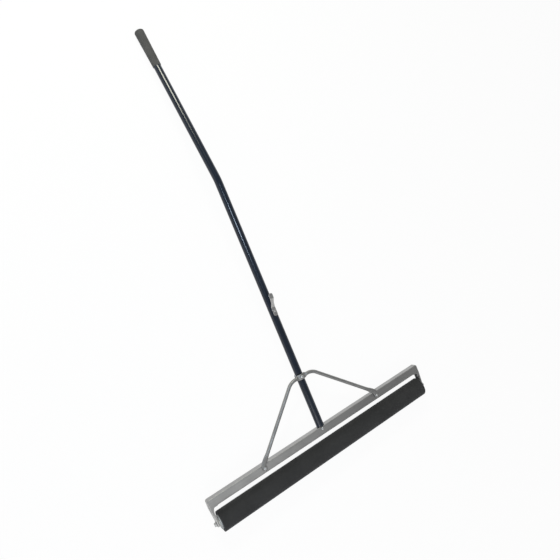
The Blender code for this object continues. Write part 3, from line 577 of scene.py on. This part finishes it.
def plated_strap():
    """Plated strip for the hook: fine lines along the strap and a speckled plating."""
    material, tree, shader = new_material("plated_strap", (0.6, 0.6, 0.6), 0.35, 1.0)
    lines = noise(tree, along_coordinates(tree, (70, 8, 1)), 1.0, 3.0)
    speckle = noise(tree, object_coordinates(tree), 420.0, 4.0, 0.7)
    tone = ramp(tree, speckle, ((0.3, (0.36, 0.36, 0.36)), (0.65, (0.54, 0.54, 0.53))))
    tree.links.new(tone, shader.inputs["Base Color"])
    tree.links.new(stretch(tree, speckle, 0.44, 0.26), shader.inputs["Roughness"])
    bump(tree, shader, lines, 0.00004, 0.6)
    return material


def navy_enamel():
    """Blue-black gloss enamel with a faint orange peel and a few rubbed places."""
    material, tree, shader = new_material("navy_enamel", (0.006, 0.012, 0.024), 0.16, Specular_IOR_Level=0.42)
    plain = object_coordinates(tree)
    cloud = noise(tree, plain, 14.0, 4.0)
    peel = noise(tree, plain, 750.0, 2.0)
    rubbed = noise(tree, object_coordinates(tree, (60, 9, 60)), 1.0, 6.0, 0.7)
    tone = ramp(tree, cloud, ((0.3, (0.0045, 0.0095, 0.0195)), (0.7, (0.0075, 0.0145, 0.028))))
    worn = ramp(tree, rubbed, ((0.66, 0.0), (0.74, 0.35)))
    tree.links.new(blend_colours(tree, tone, (0.02, 0.026, 0.036, 1), worn), shader.inputs["Base Color"])
    tree.links.new(stretch(tree, rubbed, 0.13, 0.24), shader.inputs["Roughness"])
    bump(tree, shader, peel, 0.00003, 0.35)
    return material


def cell_foam():
    """Closed-cell squeegee foam: cut cells, a dusty bloom and slow changes of tone."""
    material, tree, shader = new_material("cell_foam", (0.036, 0.036, 0.037), 0.95, Sheen_Weight=0.08,
                                          Sheen_Roughness=0.5, Specular_IOR_Level=0.3)
    plain = object_coordinates(tree)
    pores = cells(tree, plain, 620.0)
    fine = noise(tree, plain, 1500.0, 3.0, 0.7)
    patches = noise(tree, plain, 11.0, 5.0, 0.6)
    tone = ramp(tree, patches, ((0.3, (0.028, 0.028, 0.0285)), (0.7, (0.041, 0.041, 0.041))))
    speck = ramp(tree, fine, ((0.35, 0.75), (0.65, 1.0)))
    tree.links.new(blend_colours(tree, tone, speck, 1.0, "MULTIPLY"), shader.inputs["Base Color"])
    tree.links.new(stretch(tree, patches, 0.98, 0.84), shader.inputs["Roughness"])
    low = bump(tree, shader, ramp(tree, pores, ((0.0, 0.0), (0.45, 1.0))), 0.00025, 0.6)
    bump(tree, shader, fine, 0.0001, 0.5, low)
    return material


def grip_foam():
    """Soft moulded grip: a matte skin with fine pores, a little polished by hands."""
    material, tree, shader = new_material("grip_foam", (0.055, 0.055, 0.056), 0.8, Sheen_Weight=0.12,
                                          Sheen_Roughness=0.4, Specular_IOR_Level=0.3)
    plain = object_coordinates(tree)
    pores = cells(tree, plain, 900.0)
    handled = noise(tree, plain, 30.0, 4.0, 0.6)
    tone = ramp(tree, handled, ((0.3, (0.060, 0.060, 0.061)), (0.7, (0.082, 0.082, 0.082))))
    tree.links.new(tone, shader.inputs["Base Color"])
    tree.links.new(stretch(tree, handled, 0.88, 0.66), shader.inputs["Roughness"])
    bump(tree, shader, ramp(tree, pores, ((0.0, 0.0), (0.5, 1.0))), 0.00014, 0.6)
    return material


def moulded_plastic(name, dark, light, roughness):
    """Moulded plastic with a fine spark-eroded skin."""
    material, tree, shader = new_material(name, light, roughness)
    plain = object_coordinates(tree)
    skin = noise(tree, plain, 1300.0, 3.0)
    flow = noise(tree, plain, 40.0, 4.0)
    tree.links.new(ramp(tree, flow, ((0.3, dark), (0.7, light))), shader.inputs["Base Color"])
    tree.links.new(stretch(tree, skin, roughness - 0.08, roughness + 0.1), shader.inputs["Roughness"])
    bump(tree, shader, skin, 0.00004, 0.5)
    return material


FOAM = cell_foam()
GRIP = grip_foam()
ENAMEL = navy_enamel()
ALUMINIUM = rolled_aluminium()
ZINC = zinc_plate()
ROD = drawn_rod()
STRAP = plated_strap()
PLUG_PLASTIC = moulded_plastic("plug_plastic", (0.34, 0.35, 0.35), (0.46, 0.47, 0.47), 0.45)
CORE_PLASTIC = moulded_plastic("core_plastic", (0.38, 0.38, 0.37), (0.48, 0.48, 0.47), 0.5)
BUSH_NYLON = moulded_plastic("bush_nylon", (0.66, 0.64, 0.57), (0.78, 0.76, 0.69), 0.38)

RING_TREE = revolved_ring_tree()
TUBE_TREE = bent_tube_tree()
NUT_TREE = hexagon_nut_tree()
THREAD_TREE = thread_tree()


# The roller

def ring_mesh(name, length, outer, bore, edge, sides, material, step=1.0, swell=0.0):
    """A revolved ring with its lower face at Z = 0."""
    sizes = {"Length": length, "Outer Radius": outer, "Bore Radius": bore, "Edge Round": edge, "Sides": sides,
             "Step": step, "Swell": swell}
    mesh = mesh_from_tree(name, RING_TREE, sizes, material)
    mesh.transform(place(z=length / 2))
    return mesh


def make_foam():
    mesh = ring_mesh("foam_sleeve", FOAM_LENGTH, FOAM_RADIUS, FOAM_BORE, FOAM_EDGE, 128, FOAM, 0.012, 0.00025)
    foam = finish_piece("foam_sleeve", mesh, TO_X @ place(z=-FOAM_LENGTH / 2), FOAM, "roller",
                        ["roller_foam"])


def make_end_plug(side, outward):
    """The plug's flange has a raised rim round a shallow dish."""
    face = PLUG_FLANGE
    profile = [(PLUG_RADIUS - PLUG_EDGE, face), (PLUG_RADIUS - PLUG_EDGE_MIDDLE, face - PLUG_EDGE_MIDDLE),
               (PLUG_RADIUS, face - PLUG_EDGE), (PLUG_RADIUS, PLUG_CORNER), (PLUG_RADIUS - PLUG_CORNER, 0),
               (SPIGOT_RADIUS, 0), (SPIGOT_RADIUS, -PLUG_SPIGOT + SPIGOT_LEAD),
               (SPIGOT_RADIUS - SPIGOT_LEAD, -PLUG_SPIGOT), (BUSH_HOLE, -PLUG_SPIGOT),
               (BUSH_HOLE, face - PLUG_CORNER), (BUSH_HOLE + PLUG_CORNER, face), (HUB_RADIUS, face),
               (DISH_INNER, face - DISH_DEPTH), (DISH_OUTER, face - DISH_DEPTH), (RIM_RADIUS, face)]
    mesh = turned_mesh("plug", profile, 96, closed=True)
    finish_piece(f"roller_plug_{side}", mesh, outward @ place(z=PLUG_FACE), PLUG_PLASTIC, "roller",
                 [f"end_plug_{side}"])


def make_axle_fittings(side, outward):
    rings = (("thrust_washer", THRUST_FACE, THRUST_WASHER, THRUST_RADIUS),
             ("axle_spacer", SPACER_FACE, SPACER_LENGTH, SPACER_RADIUS),
             ("axle_washer", WASHER_FACE, WASHER, WASHER_RADIUS))
    for node, face, length, outer in rings:
        mesh = ring_mesh(node, length, outer, AXLE_HOLE, 0.0003, 56, ZINC)
        finish_piece(f"{node}_{side}_turned", mesh, outward @ place(z=face), ZINC, "frame",
                     [f"{node}_{side}"])
    make_nut(f"axle_nut_{side}", NUT_WIDTH, NUT, AXLE_HOLE, outward @ place(z=NUT_FACE))


def make_nut(node, width, height, bore, matrix):
    mesh = mesh_from_tree(node, NUT_TREE, {"Width": width, "Height": height, "Bore": bore}, ZINC)
    finish_piece(f"{node}_hexagon", mesh, matrix, ZINC, "frame", [node], sharp=25)


def thread_mesh(radius, length, pitch):
    return mesh_from_tree("thread", THREAD_TREE, {"Radius": radius, "Length": length, "Pitch": pitch}, ZINC)


def make_axle():
    """The rod with a chamfer and a thread at each end."""
    chamfer = 0.0006
    depth = 0.0004
    root = AXLE_RADIUS - depth
    threaded = 0.016
    start_gap = 0.002
    both_gaps = 0.0025
    pitch = 0.0014
    half = [(0, AXLE_END), (AXLE_RADIUS - chamfer, AXLE_END), (root, AXLE_END - chamfer),
            (root, AXLE_END - threaded), (AXLE_RADIUS, AXLE_END - threaded - depth)]
    profile = half + [(radius, -height) for radius, height in reversed(half)]
    rod = turned_mesh("axle", profile, 56)
    coil = AXLE_END - chamfer - threaded + start_gap
    upper = thread_mesh(root, threaded - both_gaps, pitch)
    upper.transform(place(z=coil))
    lower = upper.copy()
    lower.transform(Matrix.Rotation(math.pi, 4, "X"))
    mesh = joined_mesh("axle", rod, upper, lower)
    finish_piece("axle_threaded_rod", mesh, TO_X, ZINC, "frame", ["axle_rod"])


# The handle and the grip

def make_handle():
    end = GRIP_END - (GRIP_CAP + GAP) * UP_THE_GRIP
    line = [(0, 0, YOKE_TOP + GAP), (0, 0, KNEE_Z), end]
    sizes = {"Radius": TUBE_RADIUS, "Bend Radius": BEND_RADIUS, "Sides": 64, "Bend Steps": 32}
    mesh = mesh_from_tree("tube", TUBE_TREE, sizes, ENAMEL, line, TUBE_WALL)
    finish_piece("handle_bent_tube", mesh, place(), ENAMEL, "frame", ["handle_tube"])


def make_grip():
    """A closed sleeve with a rounded end, a slight taper and a mouth that thins softly onto the tube."""
    bore = TUBE_RADIUS + GAP
    profile = [(0, 0)]
    for step in range(11):
        turn = math.radians(9 * step)
        radius = GRIP_END_RADIUS - GRIP_END_ROUND * (1 - math.sin(turn))
        profile.append((radius, -GRIP_END_ROUND * (1 - math.cos(turn))))
    for step in range(1, 24):
        share = step / 24
        down = -GRIP_END_ROUND - share * (GRIP_LENGTH - GRIP_END_ROUND - GRIP_MOUTH)
        profile.append((GRIP_END_RADIUS + (GRIP_MOUTH_RADIUS - GRIP_END_RADIUS) * share, down))
    mouth = ((0.0, 0.0050), (0.0001, 0.0036), (0.0004, 0.0022), (0.0008, 0.0011), (0.0013, 0.0002))
    profile += [(GRIP_MOUTH_RADIUS - inward, -GRIP_LENGTH + up) for inward, up in mouth]
    profile += [(bore, -GRIP_LENGTH), (bore, -GRIP_CAP), (0, -GRIP_CAP)]
    mesh = turned_mesh("grip", profile, 96)
    tilt = Matrix.Rotation(-BEND_ANGLE, 4, "X")
    grip = finish_piece("grip_sleeve", mesh, Matrix.Translation(GRIP_END) @ tilt, GRIP, "frame",
                        ["handle_grip"])


# The bow brace

def smooth_share(value):
    value = min(max(value, 0), 1)
    return value * value * (3 - 2 * value)


def brace_path():
    """Centre line from the left tip, up, round the front of the handle and down to the right tip."""
    apex = SADDLE_RADIUS * math.tan(SADDLE_WRAP / 2)
    behind = -SADDLE_RADIUS + (SADDLE_END - apex) * math.tan(SADDLE_WRAP)
    level = [((SADDLE_END + SADDLE_BLEND * share / 6, behind, BRACE_Z), 0) for share in range(2, 7)]
    ankle = Vector((FOOT_SPREAD, BRACE_Y, YOKE_TOP))
    up = Vector((BRACE_SHOULDER - FOOT_SPREAD, 0, BRACE_Z - YOKE_TOP)).normalized()
    leg = [(ankle + (ANKLE_RISE + FOOT_BLEND * share / 10) * up, 0) for share in range(14, 0, -1)]
    tip = [FOOT_Z - FOOT_HALF_WIDTH * math.sin(math.radians(angle)) for angle in range(0, 91, 9)]
    saddle = [((apex, -SADDLE_RADIUS, BRACE_Z), SADDLE_RADIUS), ((SADDLE_END, behind, BRACE_Z), SADDLE_EASE)]
    shoulder = ((BRACE_SHOULDER, behind, BRACE_Z), BRACE_BEND_RADIUS)
    right = [*saddle, *level, shoulder, *leg, (ankle, ANKLE_RADIUS)]
    right += [((FOOT_SPREAD, BRACE_Y, height), 0) for height in tip]
    left = [(Vector((-point[0], point[1], point[2])), radius) for point, radius in reversed(right)]
    path = rounded(left + right)
    return path[:1] + [after for before, after in zip(path, path[1:]) if (after - before).length > SAME_POINT]


def pressed_section(across, from_tip):
    """Half thickness and half width of the rod at this distance from the handle and from its tip."""
    at_foot = smooth_share((FOOT_PRESSED + FOOT_BLEND - from_tip) / FOOT_BLEND)
    at_saddle = smooth_share((SADDLE_END + SADDLE_BLEND - abs(across)) / SADDLE_BLEND)
    share = max(at_foot, at_saddle)
    wide = FOOT_HALF_WIDTH if at_foot > at_saddle else SADDLE_HALF_WIDTH
    width = BRACE_RADIUS + (wide - BRACE_RADIUS) * share
    if from_tip < FOOT_HALF_WIDTH:
        width *= math.sqrt(max(1 - (1 - from_tip / FOOT_HALF_WIDTH) ** 2, 0.01))
    return BRACE_RADIUS + (PRESSED_HALF - BRACE_RADIUS) * share, width


def reach_along(path):
    reach = [0.0]
    for before, after in zip(path, path[1:]):
        reach.append(reach[-1] + (after - before).length)
    return reach


def make_brace():
    """A rod pressed flat over the handle and at both feet, with soft edges to the pressed places."""
    path = brace_path()
    reach = reach_along(path)
    sides = 32
    rings = []
    for index, point in enumerate(path):
        along = (path[min(index + 1, len(path) - 1)] - path[max(index - 1, 0)]).normalized()
        outward = (Vector((0, 1, 0)) - along * along.y).normalized()
        sideways = along.cross(outward)
        thick, width = pressed_section(point.x, min(reach[index], reach[-1] - reach[index]))
        flat = 1 - (thick - PRESSED_HALF) / (BRACE_RADIUS - PRESSED_HALF)
        points = []
        for k in range(sides):
            turn = 2 * math.pi * (k + 0.5) / sides
            high = math.copysign(abs(math.sin(turn)) ** (1 - SQUARE_THICK * flat), math.sin(turn))
            wide = math.copysign(abs(math.cos(turn)) ** (1 - SQUARE_WIDE * flat), math.cos(turn))
            points.append(point + sideways * width * wide + outward * thick * high)
        rings.append(points)
    mesh = loft_mesh("brace", rings, reach)
    finish_piece("bow_brace_rod", mesh, place(), ROD, "frame", ["bow_brace"], sharp=50)


# The fence hook

def hook_half_width(height, top):
    """Half the strap's width: round at both ends and waisted where the strap steps out."""
    width = HOOK_WIDTH / 2
    edge = HOOK_CORNER - min(height, top - height)
    if edge > 0:
        width -= HOOK_CORNER - math.sqrt(max(HOOK_CORNER ** 2 - edge ** 2, 0))
    share = min(max((height - HOOK_FLAT) / HOOK_STEP, 0), 1)
    return width - HOOK_WAIST * math.sin(math.pi * share) ** 2


def hook_frame():
    """Turns +X to point out of the handle's front, a little to the right, +Y up and +Z across."""
    outward = Matrix(((0, 0, 1, 0), (-1, 0, 0, 0), (0, 1, 0, 0), (0, 0, 0, 1)))
    return Matrix.Rotation(HOOK_TURN, 4, "Z") @ place(z=HOOK_Z) @ outward


def make_hook():
    """A strap bent out from the handle, lofted with a rounded rectangle as its section."""
    flat = TUBE_RADIUS + GAP + HOOK_SHEET / 2
    out = flat + HOOK_THROAT
    step_top = HOOK_FLAT + HOOK_STEP
    top = step_top + HOOK_LEG
    ends = [HOOK_CORNER * (1 - math.cos(math.radians(angle))) for angle in range(0, 91, 10)]
    slant = [((flat + HOOK_THROAT * k / 12, HOOK_FLAT + HOOK_STEP * k / 12, 0), 0) for k in range(4, 9)]
    inner = [((flat, rise, 0), 0) for rise in ends] + [((flat, HOOK_FLAT, 0), HOOK_BEND_RADIUS)]
    outer = [((out, step_top, 0), HOOK_BEND_RADIUS)] + [((out, top - drop, 0), 0) for drop in ends[::-1]]
    path = rounded(inner + slant + outer)
    soft = 0.0005
    half = HOOK_SHEET / 2
    rings = []
    for index, point in enumerate(path):
        along = (path[min(index + 1, len(path) - 1)] - path[max(index - 1, 0)]).normalized()
        across = Vector((-along.y, along.x, 0))
        width = hook_half_width(point.y, top)
        quarter = []
        for sign_a, sign_w, first in ((1, 1, 0), (-1, 1, 90), (-1, -1, 180), (1, -1, 270)):
            for angle in (first, first + 30, first + 60, first + 90):
                turn = math.radians(angle)
                quarter.append(point + across * (sign_a * (half - soft) + soft * math.cos(turn))
                               + Vector((0, 0, sign_w * (width - soft) + soft * math.sin(turn))))
        rings.append(quarter)
    mesh = loft_mesh("hook", rings, reach_along(path))
    finish_piece("fence_hook_strap", mesh, hook_frame(), STRAP, "frame", ["fence_hook"], sharp=40)
    rivet_seat = flat + half + GAP
    rivet_way = Matrix.Rotation(HOOK_TURN, 4, "Z") @ place(z=HOOK_Z + RIVET_UP) @ TO_MINUS_Y
    finish_piece("hook_rivet_dome", dome_mesh(RIVET_HEAD, RIVET_CROWN, RIVET_SHANK, RIVET_LENGTH, 0),
                 rivet_way @ place(z=rivet_seat), ZINC, "frame", ["hook_rivet"])


# Bolts

def dome_mesh(head, crown, shank, length, tail_round=0.0004):
    """A round-headed bolt or rivet: the head stands above Z = 0 and the shank reaches down."""
    profile = [(0, crown)]
    for step in range(1, 13):
        turn = math.radians(90 * step / 13)
        profile.append((head * math.sin(turn), crown * (0.12 + 0.88 * math.cos(turn))))
    profile += [(head, crown * 0.1), (head - 0.0001, 0), (shank, 0), (shank, -length + tail_round)]
    if tail_round:
        profile.append((shank - tail_round, -length))
    profile.append((0, -length))
    return turned_mesh("dome", profile, 48)


def make_bolt(node, radius, head, crown, length, threaded, matrix):
    root = radius - SMALL_THREAD_DEPTH
    bolt = dome_mesh(head, crown, root, length)
    thread = thread_mesh(root, threaded, SMALL_PITCH)
    thread.transform(place(z=-length + SMALL_PLAIN_END))
    finish_piece(f"{node}_domed", joined_mesh(node, bolt, thread), matrix, ZINC, "frame", [node])


def make_flat_washer(owner, thickness, outer, bore, matrix):
    mesh = ring_mesh("washer", thickness, outer, bore, FLAT_WASHER_EDGE, 48, ZINC)
    finish_piece(f"{owner}_flat_washer", mesh, matrix, ZINC, "frame", [f"{owner}_washer"])


def make_handle_bolt():
    length = HALF_DEPTH + GAP + HANDLE_NUT_SEAT + HANDLE_NUT + HANDLE_BOLT_TAIL
    make_bolt("handle_bolt", HANDLE_BOLT_RADIUS, HANDLE_BOLT_HEAD, HANDLE_BOLT_CROWN, length, HANDLE_THREAD,
              place(y=-HALF_DEPTH - GAP, z=HANDLE_BOLT_Z) @ TO_MINUS_Y)
    make_nut("handle_bolt_nut", HANDLE_NUT_WIDTH, HANDLE_NUT, HANDLE_BOLT_RADIUS + GAP,
             place(y=HANDLE_NUT_SEAT, z=HANDLE_BOLT_Z) @ TO_Y)
    make_flat_washer("handle_bolt", HANDLE_WASHER, HANDLE_WASHER_RADIUS, HANDLE_BOLT_RADIUS + GAP,
                     place(y=HALF_DEPTH + GAP, z=HANDLE_BOLT_Z) @ TO_Y)


def make_saddle_bolt():
    front = -(SADDLE_RADIUS + PRESSED_HALF + GAP)
    length = SADDLE_NUT_SEAT - front + SMALL_NUT + SMALL_BOLT_TAIL
    make_bolt("saddle_bolt", SMALL_BOLT_RADIUS, SMALL_BOLT_HEAD, SMALL_BOLT_CROWN, length, SADDLE_THREAD,
              place(y=front, z=BRACE_Z) @ TO_MINUS_Y)
    make_nut("saddle_nut", SMALL_NUT_WIDTH, SMALL_NUT, SMALL_BOLT_RADIUS + GAP,
             place(y=SADDLE_NUT_SEAT, z=BRACE_Z) @ TO_Y)
    make_flat_washer("saddle", SADDLE_WASHER, SADDLE_WASHER_RADIUS, SMALL_BOLT_RADIUS + GAP,
                     place(y=TUBE_RADIUS + GAP, z=BRACE_Z) @ TO_Y)


def make_foot_bolt(side, sign):
    outside = PRESSED_HALF + GAP
    reach = -BRACE_Y + outside - FOOT_NUT_SEAT + SMALL_NUT + SMALL_BOLT_TAIL
    make_bolt(f"foot_bolt_{side}", SMALL_BOLT_RADIUS, SMALL_BOLT_HEAD, SMALL_BOLT_CROWN, reach, FOOT_THREAD,
              place(sign * FOOT_SPREAD, BRACE_Y - outside, FOOT_Z) @ TO_MINUS_Y)
    make_nut(f"foot_nut_{side}", SMALL_NUT_WIDTH, SMALL_NUT, SMALL_BOLT_RADIUS + GAP,
             place(sign * FOOT_SPREAD, -FOOT_NUT_SEAT, FOOT_Z) @ TO_Y)


def paint_node(node, material):
    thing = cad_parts[node]
    if not thing.material_slots:
        thing.data.materials.append(material)
    for slot in thing.material_slots:
        slot.material = material


# Floor, light and camera

def studio_white():
    """Pale floor that looks white, in reflections too, and keeps a faint shadow of what stands on it."""
    material = bpy.data.materials.new("studio_white")
    material.use_nodes = True
    tree = material.node_tree
    tree.nodes.clear()
    matte = add_node(tree, "ShaderNodeBsdfDiffuse", Color=(0.9, 0.9, 0.9, 1))
    glow = add_node(tree, "ShaderNodeEmission", Color=(1, 1, 1, 1), Strength=1.0)
    light_path = add_node(tree, "ShaderNodeLightPath").outputs
    reflected = maths(tree, "MAXIMUM", light_path["Is Glossy Ray"], light_path["Is Transmission Ray"])
    seen = maths(tree, "MAXIMUM", light_path["Is Camera Ray"], reflected)
    share = maths(tree, "MULTIPLY", seen, 0.94)
    both = add_node(tree, "ShaderNodeMixShader", Fac=share)
    tree.links.new(matte.outputs[0], both.inputs[1])
    tree.links.new(glow.outputs[0], both.inputs[2])
    out = add_node(tree, "ShaderNodeOutputMaterial")
    tree.links.new(both.outputs[0], out.inputs["Surface"])
    return material


def make_floor():
    """A wide floor that curves up into a low wall all round."""
    wide, high, curve = 7.0, 3.2, 1.0
    profile = [(0, 0), (wide - curve, 0)]
    for step in range(1, 13):
        turn = math.radians(7.5 * step)
        profile.append((wide - curve + curve * math.sin(turn), curve * (1 - math.cos(turn))))
    profile.append((wide, high))
    mesh = turned_mesh("studio_floor", profile, 96)
    mesh.materials.append(studio_white())
    mesh.shade_smooth()
    floor = bpy.data.objects.new("studio_floor", mesh)
    bpy.context.scene.collection.objects.link(floor)


def make_softbox(name, spot, aim, width, height, power, colour=(1, 1, 1)):
    light = bpy.data.lights.new(name, "AREA")
    light.shape = "RECTANGLE"
    light.size = width
    light.size_y = height
    light.energy = power
    light.color = colour
    lamp = bpy.data.objects.new(name, light)
    lamp.location = spot
    lamp.rotation_euler = (Vector(aim) - Vector(spot)).to_track_quat("-Z", "Y").to_euler()
    bpy.context.scene.collection.objects.link(lamp)
    return lamp


def light_studio():
    world = bpy.data.worlds.new("studio_air")
    world.use_nodes = True
    background = world.node_tree.nodes["Background"]
    background.inputs["Color"].default_value = (1, 1, 1, 1)
    background.inputs["Strength"].default_value = 0.34
    bpy.context.scene.world = world
    make_softbox("handle_softbox", spot=(-0.21, 2.04, 1.95), aim=(0, 0.548, 0.081), width=1.1, height=0.47,
                 power=40, colour=(1.0, 0.99, 0.84))
    make_softbox("lens_softbox", spot=(-0.84, -0.17, 2.25), aim=(0, 0.035, 0.119), width=0.28, height=0.5,
                 power=15, colour=(0.66, 0.81, 1.0))
    make_softbox("head_softbox", spot=(-0.5, -2.15, 2.0), aim=(-0.3, -0.8, 0.04), width=2.4, height=0.9,
                 power=7.5)
    make_softbox("side_softbox", spot=(-1.5, -2.0, 1.3), aim=(-0.4, -0.8, 0.03), width=0.8, height=0.8,
                 power=8)


def make_camera():
    data = bpy.data.cameras.new("photo_camera")
    data.lens = 35.5666
    data.sensor_width = 36
    data.shift_x = 0.02759
    data.shift_y = -0.10357
    camera = bpy.data.objects.new("photo_camera", data)
    camera.location = (-0.76165, -0.08868, 1.93518)
    camera.rotation_euler = [math.radians(angle) for angle in (13.5164, -21.8424, -26.5985)]
    bpy.context.scene.collection.objects.link(camera)
    bpy.context.scene.camera = camera


make_camera()
light_studio()
make_floor()
make_foam()
make_axle()
for end_name, turn_out in (("left", TO_MINUS_X), ("right", TO_X)):
    make_end_plug(end_name, turn_out)
    make_axle_fittings(end_name, turn_out)
make_handle()
make_grip()
make_brace()
make_hook()
make_handle_bolt()
make_saddle_bolt()
for side_name, side_sign in (("left", -1), ("right", 1)):
    make_foot_bolt(side_name, side_sign)
paint_node("yoke", ALUMINIUM)
paint_node("roller_core", CORE_PLASTIC)
paint_node("bush_left", BUSH_NYLON)
paint_node("bush_right", BUSH_NYLON)
paint_node("socket_plug", ZINC)

bpy.context.scene.view_settings.view_transform = "Standard"
